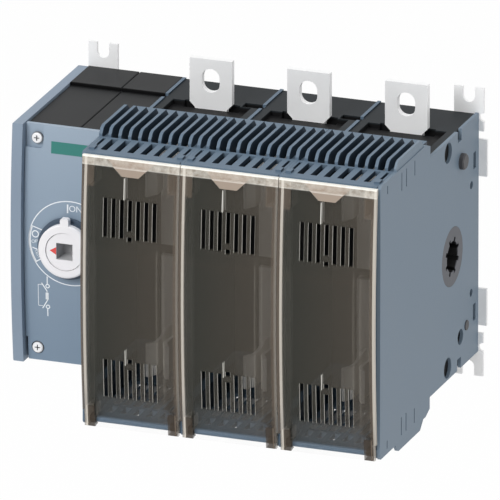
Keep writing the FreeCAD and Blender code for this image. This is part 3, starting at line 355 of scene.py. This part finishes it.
def ink(name, colour):
    """Printed ink: nearly flat, with the slight mottle of a pad print."""
    finish = Finish(name, colour, 0.5)
    mottle = finish.noise(900.0, 2.0)
    finish.vary(mottle, 0.93, 1.03)
    finish.use("Roughness", 0.45 + mottle * 0.1)
    return finish.material


# Details of a fuse cover, in millimetres. Widths are measured inwards from its sides, and
# lengths from its top or bottom; places across it are measured from its middle.

COVER_BOW = 4.0
STEP_OUTER, STEP_INNER = 1.5, 3.1
POST_FROM, HOOK_FROM, ARM_TO = 2.9, 2.4, 7.4
POST_LENGTH, HOOK_LENGTH = 17.8, 13.0
SILL_HEIGHT, HEEL_HEIGHT = 6.2, 22.0
GLOW_FROM, GLOW_TO, GLOW_SIDE = 8.0, 20.0, 9.0
LIP_HEIGHT, LIP_EDGE = 5.2, 0.9
GRIP_TOP, GRIP_BOTTOM, GRIP_HALF = 4.2, 10.2, 11.0
PIN_TOP, PIN_LENGTH, PIN_RADIUS = 11.2, 13.4, 0.42
PIN_ACROSS, PIN_DEPTH = -3.8, 7.6
PIN_GLEAM, CATCH_GLEAM = (-4.0, -3.5), (-2.9, -2.5)
CATCH_FROM, CATCH_TO = 40.5, 50.0
GRILLE_HALF, SLOT_EDGE = 21.0, 0.75
CREASE_FROM, CREASE_TO = 24.4, 25.2
RIB_PLACES, RIB_HALF, RIB_TOP = (16.7, 20.9), 0.3, 30.0

FIELD_LEFT, FIELD_RIGHT = srgb(61, 63, 58), srgb(93, 86, 77)
PALE, CREAM, SAND = srgb(206, 199, 188), srgb(252, 250, 242), srgb(184, 167, 152)
BROWN, TAUPE, UMBER = srgb(112, 100, 88), srgb(150, 138, 124), srgb(66, 56, 46)
STONE, SLATE, SLOT_SHADE = srgb(150, 145, 138), srgb(128, 132, 134), srgb(14, 14, 14)


def smoke_cover(pole):
    """Clear smoke-brown plastic, with painted highlights on its edges, lip and slot walls, and
    painted shade on one step of each side and deep in the slots.
    """
    node = "fuse_cover_%d" % pole
    centre = middle(node).x / MM
    half = (high(node).x - low(node).x) / 2 / MM
    top, bottom = high(node).z / MM, low(node).z / MM
    finish = Finish("smoke_cover_%d" % pole, FIELD_LEFT, 0.08, IOR=1.46, Specular_IOR_Level=0.22)
    across = finish.axis(X) - centre
    height = finish.axis(Z)
    inward = half - abs(across)
    bow = (height - (top + bottom) / 2).maths("POWER", 2.0) * (
        COVER_BOW / ((top - bottom) / 2) ** 2
    )
    behind = finish.axis(Y) - low(node).y / MM - bow
    waves = finish.noise(35.0, 2.0)
    # Painted glints: a speckled highlight used on the lip
    glints = ((finish.noise(260.0, 4.0, 0.7) - 0.5) * 2.4 + 0.5).clamp()

    # Painted light and shade on the side steps: the lit step is the outer one on the right and the
    # inner one on the left, and the other step is shaded
    right = across.above(0.0, 0.1)
    outer = inward.below(STEP_OUTER, 0.3)
    inner = inward.between(STEP_OUTER, STEP_INNER, 0.3)
    # The rightmost cover's outer step gets the full painted highlight
    outer_highlight = 1.0 if pole == POLES[-1] else 0.35
    light = outer * right * outer_highlight + inner * (1 - right)
    shaded_step = inner * right + outer * (1 - right)

    post = inward.between(POST_FROM, ARM_TO, 0.3) * height.above(top - POST_LENGTH, 0.3)
    hook = inward.between(HOOK_FROM, ARM_TO, 0.3) * height.below(bottom + HOOK_LENGTH, 0.3)
    sill = inward.above(ARM_TO, 0.4) * height.below(bottom + SILL_HEIGHT, 0.5)
    heel = height.below(bottom + HEEL_HEIGHT, 14.0)
    # Painted light: the lit floor behind the cover, seen through it
    painted_floor_light = height.between(bottom + GLOW_FROM, bottom + GLOW_TO, 5.0)
    painted_floor_light = painted_floor_light * inward.above(GLOW_SIDE, 3.0)
    lip = height.above(top - LIP_HEIGHT, 0.5)
    lip_edge = height.above(top - LIP_EDGE, 0.2)
    lip_foot = height.between(top - LIP_HEIGHT - 0.4, top - LIP_HEIGHT + 0.3, 0.3)
    lip_highlight = (lip_edge + lip_foot * 0.35).clamp()
    grip = (abs(across) + (top - GRIP_TOP - height)).below(GRIP_HALF, 0.4)
    grip = grip * height.above(top - GRIP_BOTTOM, 0.4)
    # Wires behind the cover, shown as painted highlights laid on the cover: the gleam of the latch
    # pin and of the catch wire, which is only painted
    pin_foot = top - PIN_TOP - PIN_LENGTH
    pin = across.between(*PIN_GLEAM, 0.2) * height.between(pin_foot, top - PIN_TOP, 0.4)
    catch = across.between(*CATCH_GLEAM, 0.2)
    catch = catch * height.between(bottom + CATCH_FROM, bottom + CATCH_TO, 0.4)
    wire = (pin + catch).clamp() * (1 - abs(finish.facing(X)))
    side_wall = finish.side_faces()
    slot_wall = side_wall * abs(across).below(GRILLE_HALF, 0.5)

    finish.fade((across / (2 * half) + 0.5).clamp(), FIELD_LEFT, FIELD_RIGHT)
    # Painted shade: a faint brown line along a crease of the cover
    finish.paint(height.between(CREASE_FROM, CREASE_TO, 0.4) * 0.25, BROWN)
    for rib in RIB_PLACES:
        line = across.between(rib - RIB_HALF, rib + RIB_HALF, 0.3)
        finish.paint(line * height.below(RIB_TOP, 6.0) * 0.22, PALE)
    finish.paint(post * 0.75, BROWN)
    finish.paint(hook * 0.9, UMBER)
    # Painted shade on the step away from the light
    finish.paint(shaded_step, shade(BROWN, 0.8))
    # The lip is paler, with painted glints on it
    finish.paint(lip * 0.8, finish.mix(glints, TAUPE, PALE))
    finish.paint(grip * 0.85, SAND)
    # Painted highlight on the lit step
    finish.paint(light, PALE)
    # Painted highlights along the lip's top edge and foot, and on its glints
    finish.paint((lip_highlight * 0.8 + lip * glints * 0.3).clamp(), CREAM)
    finish.paint(sill * 0.6, STONE)
    # Painted light of the floor behind the cover
    finish.paint(painted_floor_light * 0.4, SLATE)
    # Painted highlight of the wires behind the cover
    finish.paint(wire * 0.9, CREAM)
    # Painted highlight on the side walls
    finish.paint(side_wall * 0.7, PALE)
    # Painted highlight on the front edge of the slot walls, and painted shade deeper in the slots
    finish.paint(slot_wall, finish.mix(behind.above(SLOT_EDGE, 0.2), CREAM, SLOT_SHADE))

    solid = (
        light * 0.3 + shaded_step * 0.25 + (lip + grip).clamp() * 0.4 + lip_highlight * 0.3
        + post * 0.15 + hook * 0.5 + wire * 0.4 + slot_wall
    ).clamp()
    clear = 0.46 + solid - heel * 0.2 - sill * 0.24 + (waves - 0.5) * 0.04
    finish.use("Alpha", clear.clamp())
    finish.use("Roughness", 0.13 + waves * 0.05)
    finish.material.surface_render_method = "BLENDED"
    return finish.material


housing_plastic = moulded("housing_plastic", srgb(110, 126, 141), 0.48).material
# Painted light: the left side shell is a lighter, lit copy of the housing plastic
shell_plastic = moulded("shell_plastic", srgb(134, 149, 166), 0.48).material
# Painted light: the front plate is a brighter, lit copy of the housing plastic, as its face is
# turned to the light
plate_plastic = front_finish("plate_plastic", srgb(152, 168, 184), srgb(116, 136, 156))
case_plastic = case_finish("case_plastic", srgb(122, 135, 150), srgb(22, 23, 24))
black_plastic = lid_finish("black_plastic", srgb(40, 41, 42), srgb(8, 8, 9))
chamber_plastic = chamber_finish("chamber_plastic", srgb(38, 42, 45), srgb(20, 20, 21))
rotor_plastic = moulded("rotor_plastic", srgb(52, 52, 55), 0.5).material
# Painted shade: the collar is a darker, shaded copy of the housing blue, for the shade under the
# dial
collar_plastic = moulded("collar_plastic", srgb(74, 88, 104), 0.45).material
white_plastic = moulded("white_plastic", srgb(244, 242, 244), 0.34, relief=0.015).material
# Painted shade: the bore of the hub is coloured near black
hub_plastic = recessed_finish(
    "hub_plastic", X, high("side_hub").x, -1.0, srgb(80, 82, 88), srgb(16, 16, 17), 0.5,
)
# Painted shade: the disc's socket is coloured grey
socket_white = disc_finish(
    "socket_white", "selector_disc", 5.0, srgb(244, 242, 244), srgb(196, 196, 198),
)

# The streaks of plated metal are fine across the rolling direction and long along it
FINE = 900.0
BRIGHT_PLATING = (0.97, 0.975, 0.98)
tinned_copper = plated_metal("tinned_copper", BRIGHT_PLATING, 0.4, (FINE, FINE, 60.0), 0.15)
zinc_steel = plated_metal("zinc_steel", BRIGHT_PLATING, 0.45, (80.0, FINE, FINE), 0.1)
silvered_copper = plated_metal(
    "silvered_copper", (0.93, 0.91, 0.87), 0.4, (FINE, FINE, 80.0), 0.2,
)
turned_steel = plated_metal("turned_steel", (0.5, 0.5, 0.51), 0.36, (120.0, FINE, FINE), 0.6)
rod_steel = plated_metal("rod_steel", (0.05, 0.05, 0.054), 0.5, (120.0, FINE, FINE), 0.2)
bracket_screw_steel = plated_metal(
    "bracket_screw_steel", (0.9, 0.9, 0.91), 0.3, (500.0, 500.0, 500.0), 0.2,
)
# Painted shade: the cross recess of the screws is coloured dark grey
cross_screw = recessed_finish(
    "cross_screw", Y, low("front_plate_screws").y, 1.0,
    srgb(248, 248, 249), srgb(104, 106, 110), 0.3,
)
white_ink = ink("white_ink", srgb(240, 244, 248))
red_ink = ink("red_ink", srgb(226, 78, 74))
field_ink = ink("field_ink", srgb(44, 122, 114))


def per_pole(*names):
    """Names of nodes that each pole has, completed with its number."""
    return ["%s_%d" % (name, pole) for name in names for pole in POLES]


def wear(nodes, material):
    for name in nodes:
        for place in NODES[name].material_slots:
            place.material = material


wear(["end_plate"], housing_plastic)
wear(["left_side_shell"], shell_plastic)
# Painted shade: the fuse plastics are darker between the fins, and the fuse housings dark inside
for nodes, inside in ((per_pole("pole_plate"), None), (per_pole("fuse_housing"), srgb(22, 23, 25))):
    for node in nodes:
        plastic = fuse_finish(
            node + "_plastic", node, srgb(93, 111, 128), srgb(42, 56, 70), inside,
        )
        wear([node], plastic)
wear(["mechanism_housing"], case_plastic)
wear(["front_plate"], plate_plastic)
wear(per_pole("switch_chamber_top", "switch_chamber_bottom"), chamber_plastic)
wear(["aux_lid_%s_%s" % (end, side) for end in ("front", "rear") for side in SIDES], black_plastic)
wear(["side_hub"], hub_plastic)
wear(per_pole("rotor"), rotor_plastic)
wear(["selector_collar"], collar_plastic)
wear(["selector_ring"], white_plastic)
wear(["selector_disc"], socket_white)
wear(["tie_rods"], rod_steel)
wear(per_pole("terminal_top", "terminal_bottom"), tinned_copper)
wear(per_pole("fuse_contact_top", "fuse_contact_bottom", "contact_blades"), silvered_copper)
wear(["bracket_%s_%s" % (level, side) for level in LEVELS for side in SIDES], zinc_steel)
wear(["drive_gear", "shaft_gear", "drive_spindle", "output_shaft", "snap_spring"], turned_steel)
wear(per_pole("arc_plates"), turned_steel)
wear(["front_plate_screws"], cross_screw)
wear(["bracket_screws"], bracket_screw_steel)
for pole in POLES:
    wear(["fuse_cover_%d" % pole], smoke_cover(pole))


# New pieces. Flat marks stand in front of a face, in metres, and are then laid on it.

FRONTWARDS = math.pi / 2


def deselect():
    bpy.ops.object.select_all(action="DESELECT")


def apply_place():
    bpy.ops.object.transform_apply(location=True, rotation=True, scale=True)


def settle(piece, material):
    """Gives a new piece its finish and puts its place into its mesh."""
    piece.data.materials.clear()
    piece.data.materials.append(material)
    deselect()
    piece.select_set(True)
    bpy.context.view_layer.objects.active = piece
    apply_place()


def flat_ring(x, y, z, radius, width, start=0.0, end=360.0):
    """Flat ring facing the front, or the part of it between two angles in degrees."""
    deselect()
    bpy.ops.mesh.primitive_circle_add(
        vertices=120, radius=radius - width / 2, fill_type="NOTHING", location=(x, y, z),
        rotation=(FRONTWARDS, 0, 0),
    )
    ring = bpy.context.active_object
    bpy.ops.object.mode_set(mode="EDIT")
    bpy.ops.mesh.select_all(action="SELECT")
    bpy.ops.mesh.extrude_edges_indiv()
    growth = (radius + width / 2) / (radius - width / 2)
    bpy.ops.transform.resize(value=(growth, growth, growth), center_override=(x, y, z))
    bpy.ops.mesh.select_all(action="DESELECT")
    bpy.ops.object.mode_set(mode="OBJECT")
    apply_place()
    for face in ring.data.polygons:
        angle = math.degrees(math.atan2(face.center.z - z, face.center.x - x)) % 360
        face.select = not start <= angle <= end
    bpy.ops.object.mode_set(mode="EDIT")
    bpy.ops.mesh.select_mode(type="FACE")
    bpy.ops.mesh.delete(type="FACE")
    bpy.ops.object.mode_set(mode="OBJECT")
    return ring


def flat_bar(x, y, z, length, width, cuts, turn=0.0):
    """Flat bar facing the front, turned by an angle and cut finely enough to follow a bow."""
    deselect()
    bpy.ops.mesh.primitive_plane_add(
        size=1, location=(x, y, z), rotation=(FRONTWARDS, -turn, 0),
    )
    bar = bpy.context.active_object
    bar.scale = (length, width, 1)
    apply_place()
    bpy.ops.object.mode_set(mode="EDIT")
    bpy.ops.mesh.subdivide(number_cuts=cuts)
    bpy.ops.object.mode_set(mode="OBJECT")
    return bar


def lettering(text, x, y, z, size, turn=0.0):
    """Generic position lettering, facing the front, turned by an angle in degrees."""
    deselect()
    bpy.ops.object.text_add(location=(x, y, z), rotation=(FRONTWARDS, math.radians(turn), 0))
    letters = bpy.context.active_object
    letters.data.body = text
    letters.data.size = size
    letters.data.align_x = "CENTER"
    letters.data.align_y = "CENTER"
    bpy.ops.object.convert(target="MESH")
    letters = bpy.context.active_object
    apply_place()
    return letters


def print_on(node, name, parts, material, body):
    """Joins flat marks into one print and lays it on a node's face with the thickness of ink."""
    deselect()
    for part in parts:
        part.select_set(True)
    bpy.context.view_layer.objects.active = parts[0]
    if len(parts) > 1:
        bpy.ops.object.join()
    piece = bpy.context.active_object
    piece.name = name
    piece.data.name = name
    wrap = piece.modifiers.new("lay", "SHRINKWRAP")
    wrap.target = NODES[node]
    wrap.wrap_method = "PROJECT"
    wrap.use_project_y = True
    wrap.use_negative_direction = False
    wrap.use_positive_direction = True
    wrap.wrap_mode = "ABOVE_SURFACE"
    wrap.offset = 0.03 * MM
    film = piece.modifiers.new("film", "SOLIDIFY")
    film.thickness = 0.02 * MM
    film.offset = 0
    settle(piece, material)
    bpy.ops.object.modifier_apply(modifier="lay")
    bpy.ops.object.modifier_apply(modifier="film")
    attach(piece, body)


# Printed marks of the front plate, in millimetres from the dial's axis

dial = middle("selector_disc")
print_start = low("front_plate").y - 4 * MM
MARK_SHIFT_X, MARK_SHIFT_Z = 0.3, 1.2
LINE, DOT_LINE, FINE_LINE = 0.62, 0.6, 0.32


def mark(x, z):
    """Place on the front plate, in metres."""
    return dial.x + (x + MARK_SHIFT_X) * MM, dial.z + (z + MARK_SHIFT_Z) * MM


def mark_stroke(x0, z0, x1, z1, width=LINE):
    """Line between two places, half its width longer than they are apart."""
    (left, low_end), (right, high_end) = mark(x0, z0), mark(x1, z1)
    along, up = right - left, high_end - low_end
    length = math.hypot(along, up) + width * MM * 0.5
    return flat_bar(
        (left + right) / 2, print_start, (low_end + high_end) / 2, length, width * MM, 6,
        math.atan2(up, along),
    )


def mark_ring(x, z, radius, width=LINE, start=0.0, end=360.0):
    across, up = mark(x, z)
    return flat_ring(across, print_start, up, radius * MM, width * MM, start, end)


def mark_text(text, x, z, size, turn=0.0):
    across, up = mark(x, z)
    return lettering(text, across, print_start, up, size * MM, turn)


dial_marks = [
    mark_ring(0.8, 1.5, 25.6),
    mark_ring(0.8, 1.5, 25.2, 1.3, 161.0, 212.0),
    mark_stroke(-23.6, 9.9, -16.4, 7.8),
    mark_stroke(-22.6, -3.4, -18.2, -4.8),
    mark_stroke(-19.8, -11.4, -16.6, -9.4),
    mark_stroke(-1.1, 20.2, -1.1, 25.0, 0.9),
    mark_text("ON", 3.8, 22.7, 5.2),
    mark_ring(-20.9, 5.0, 1.9),
    mark_text("OFF", -20.9, 0.4, 2.8, -8.0),
    mark_text("TEST", -19.6, -7.0, 2.5, 62.0),
]
symbol_marks = [
    mark_stroke(-13.8, -20.5, -13.8, -24.9),
    mark_ring(-13.6, -26.3, 1.05, DOT_LINE),
    mark_stroke(-17.2, -24.8, -14.0, -29.4),
    mark_stroke(-14.0, -29.4, -14.0, -35.0, 0.5),
    mark_stroke(-14.0, -30.9, -14.0, -34.2, 1.8),
    mark_stroke(-13.7, -34.9, -16.8, -40.3),
    mark_ring(-13.6, -39.2, 1.05, DOT_LINE),
    mark_stroke(-13.8, -40.6, -13.8, -44.9),
    mark_stroke(-16.6, -25.8, -19.4, -25.8, FINE_LINE),
    mark_stroke(-19.4, -25.8, -19.4, -38.9, FINE_LINE),
    mark_stroke(-19.4, -38.9, -16.8, -38.9, FINE_LINE),
]
print_on("front_plate", "dial_print", dial_marks, white_ink, "base")
print_on("front_plate", "circuit_print", symbol_marks, white_ink, "base")


def blank_field():
    """Plain coloured field near the top of the front plate."""
    x, z, length, width = 2.7, 59.5, 28.6, 7.2
    return flat_bar(
        dial.x + x * MM, print_start, dial.z + z * MM, length * MM, width * MM, 8,
    )


print_on("front_plate", "blank_label", [blank_field()], field_ink, "base")


def pointer():
    """Red triangle beside the drive socket, pointing away from it."""
    radius, offset = 2.7, 6.4
    deselect()
    bpy.ops.mesh.primitive_circle_add(
        vertices=3, radius=radius * MM, fill_type="NGON",
        location=(dial.x - offset * MM, low("selector_disc").y - 2 * MM, dial.z),
        rotation=(FRONTWARDS, math.radians(-90.0), 0),
    )
    apply_place()
    return bpy.context.active_object


print_on("selector_disc", "pointer_print", [pointer()], red_ink, "selector")


# Latch pins of the covers

def latch_pin(pole):
    """Thin upright wire under the grip, with rounded ends."""
    node = "fuse_cover_%d" % pole
    radius, length = PIN_RADIUS * MM, PIN_LENGTH * MM
    place = (
        middle(node).x + PIN_ACROSS * MM,
        low(node).y + PIN_DEPTH * MM,
        high(node).z - PIN_TOP * MM - length / 2,
    )
    deselect()
    bpy.ops.mesh.primitive_cylinder_add(vertices=20, radius=radius, depth=length, location=place)
    pin = bpy.context.active_object
    pin.name = "latch_pin_%d" % pole
    bpy.ops.object.mode_set(mode="EDIT")
    bpy.ops.mesh.select_all(action="SELECT")
    bpy.ops.mesh.bevel(offset=radius * 0.4, segments=2, affect="EDGES")
    bpy.ops.object.mode_set(mode="OBJECT")
    settle(pin, silvered_copper)
    bpy.ops.object.shade_smooth_by_angle(angle=math.radians(40))
    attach(pin, "cover_%d" % pole)


for pole in POLES:
    latch_pin(pole)


# Camera, seen from the right and above through a long lens, as in the photograph. The right
# front corner of the end plate, at mid height, is put at its pixel. The photograph's scale
# holds in a plane that lies behind that corner.

PHOTO_WIDTH = 500
CORNER_PIXEL_X, CORNER_PIXEL_Y = 378.8, 325.7
CORNER_BEVEL = 2.5 * MM
PIXELS_PER_MM = 1.74
AZIMUTH = math.radians(20.13)
ELEVATION = math.radians(19.62)
CAMERA_DISTANCE = 13.3
SCALE_PLANE_DEPTH = 0.065
SENSOR = 36.0


def add_camera():
    data = bpy.data.cameras.new("camera")
    camera = bpy.data.objects.new("camera", data)
    bpy.context.scene.collection.objects.link(camera)
    bpy.context.scene.camera = camera
    back = Vector((
        math.sin(AZIMUTH) * math.cos(ELEVATION),
        -math.cos(AZIMUTH) * math.cos(ELEVATION),
        math.sin(ELEVATION),
    ))
    rotation = (-back).to_track_quat("-Z", "Y")
    pixel = MM / PIXELS_PER_MM
    data.sensor_width = SENSOR
    data.lens = SENSOR * (CAMERA_DISTANCE + SCALE_PLANE_DEPTH) / (PHOTO_WIDTH * pixel)
    data.clip_start = CAMERA_DISTANCE / 2
    data.clip_end = CAMERA_DISTANCE * 2
    corner = Vector((high("end_plate").x, low("end_plate").y - CORNER_BEVEL, 0))
    nearness = CAMERA_DISTANCE / (CAMERA_DISTANCE + SCALE_PLANE_DEPTH)
    across = (CORNER_PIXEL_X - PHOTO_WIDTH / 2) * pixel * nearness
    up = (PHOTO_WIDTH / 2 - CORNER_PIXEL_Y) * pixel * nearness
    target = corner - rotation @ Vector((across, up, 0))
    camera.rotation_mode = "QUATERNION"
    camera.rotation_quaternion = rotation
    camera.location = target + back * CAMERA_DISTANCE


add_camera()


# Floor, world and lamps

WHITE = (1, 1, 1, 1)
FLOOR_DROP = 0.35


def seen_rays(tree):
    """1 for rays from the camera, and for those that it sees in gloss or through clear plastic."""
    rays = [
        tree.node("LightPath", output=kind)
        for kind in (CAMERA_RAY, GLOSSY_RAY, TRANSMISSION_RAY)
    ]
    return rays[0].maths("MAXIMUM", rays[1]).maths("MAXIMUM", rays[2])


def add_world():
    world = bpy.data.worlds.new("world")
    bpy.context.scene.world = world
    tree = Tree(world)
    soft = tree.node("Background", Color=WHITE, Strength=0.34)
    bright = tree.node("Background", Color=WHITE, Strength=1.0)
    tree.close("World Output", tree.node("MixShader", i0=seen_rays(tree), i1=soft, i2=bright))


def add_floor():
    """Pale floor well below the object, which hangs on a wall. It is clear from underneath."""
    deselect()
    bpy.ops.mesh.primitive_plane_add(size=12, location=(0, 0, cad_low.z - FLOOR_DROP))
    floor = bpy.context.active_object
    floor.name = "floor"
    pale = Finish("floor_pale", (0.9, 0.9, 0.9), 0.85)
    pale.fade(pale.noise(3.0, 2.0), (0.89, 0.89, 0.89), (0.91, 0.91, 0.91))
    glow = pale.node("Emission", Color=WHITE, Strength=1.0)
    surface = Value(pale, pale.shader.outputs[0])
    upper = pale.node("MixShader", i0=seen_rays(pale) * 0.985, i1=surface, i2=glow)
    underneath = pale.node("NewGeometry", output=BACKFACING)
    clear = pale.node("BsdfTransparent", Color=WHITE)
    pale.close("Material Output", pale.node("MixShader", i0=underneath, i1=upper, i2=clear))
    settle(floor, pale.material)


def add_lamp(name, place, size, power):
    """Softbox aimed at the middle of the object."""
    data = bpy.data.lights.new(name, "AREA")
    data.shape = "RECTANGLE"
    data.size, data.size_y = size
    data.energy = power
    lamp = bpy.data.objects.new(name, data)
    bpy.context.scene.collection.objects.link(lamp)
    lamp.location = place
    lamp.rotation_mode = "QUATERNION"
    lamp.rotation_quaternion = (Vector((0, -0.08, 0)) - Vector(place)).to_track_quat("-Z", "Y")


add_world()
add_floor()
add_lamp("key_softbox", (-0.6, -1.6, 1.1), (0.9, 0.9), 23)
add_lamp("top_softbox", (0.2, -0.1, 1.6), (1.2, 0.8), 8)
add_lamp("right_softbox", (1.5, -0.7, 0.4), (0.7, 0.9), 7)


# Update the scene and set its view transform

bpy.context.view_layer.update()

scene = bpy.context.scene
scene.view_settings.view_transform = "Standard"
